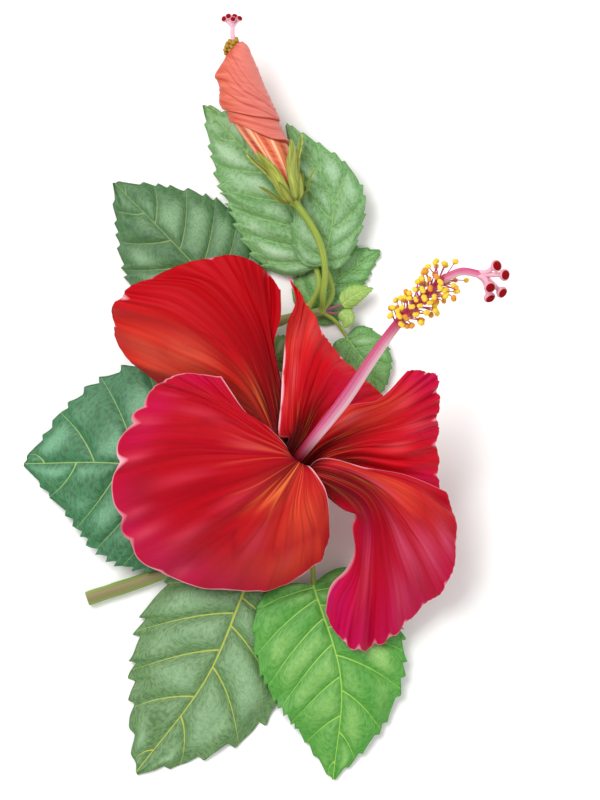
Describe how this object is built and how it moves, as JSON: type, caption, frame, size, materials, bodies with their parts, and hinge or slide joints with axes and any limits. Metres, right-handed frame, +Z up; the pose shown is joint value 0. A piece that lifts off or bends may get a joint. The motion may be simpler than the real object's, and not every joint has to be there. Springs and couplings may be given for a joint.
{
  "type": "hibiscus flower on a cut twig",
  "caption": "Red hibiscus flower, wide open, on a short cut twig with its toothed leaves and a closed flower, lying on a table.",
  "frame": {"origin": "on the surface the sprig lies on, below the centre of its bounding box", "axes": "+Y along the sprig from its lowest leaves to the closed flower, +X towards the side the column leans to, +Z up off the surface"},
  "size_m": [0.1546, 0.2428, 0.0976],
  "materials": {
    "bark": "green young bark, flushed with rose on its upper side",
    "stalk": "smooth green stalk",
    "sepal": "yellow-green, finely ribbed",
    "petal_red": "satin red with darker veins",
    "petal_crimson": "satin crimson with a magenta margin",
    "column": "pink column with magenta filaments and yellow anthers",
    "style": "pink stem with dark red velvety stigmas",
    "leaf": "waxy, with pale veins",
    "leaf_bright": "bright green, waxy, with yellow-green veins",
    "leaf_young": "pale fresh green",
    "petal_coral": "wrinkled coral, furled in a spiral"
  },
  "bodies": {
    "root": {"twig": "bark", "flower_stalk": "stalk", "calyx": "sepal", "epicalyx": "sepal", "petal_upper_left": "petal_red", "petal_top": "petal_red", "petal_right": "petal_red", "petal_lower_right": "petal_red", "petal_lower_left": "petal_crimson", "staminal_column": "column", "style": "style", "leaf_left": "leaf", "leaf_upper_left": "leaf", "leaf_behind": "leaf", "leaf_top_left": "leaf", "leaf_top_right": "leaf", "leaf_right_upper": "leaf", "leaf_right_lower": "leaf", "leaf_lower_left": "leaf", "leaf_lower_middle": "leaf_bright", "young_leaf_outer": "leaf_young", "young_leaf_inner": "leaf_young", "closed_flower_stalk": "stalk", "closed_flower_calyx": "sepal", "closed_flower_epicalyx": "sepal", "closed_flower_petals": "petal_coral", "closed_flower_style": "column"}
  },
  "joints": []
}
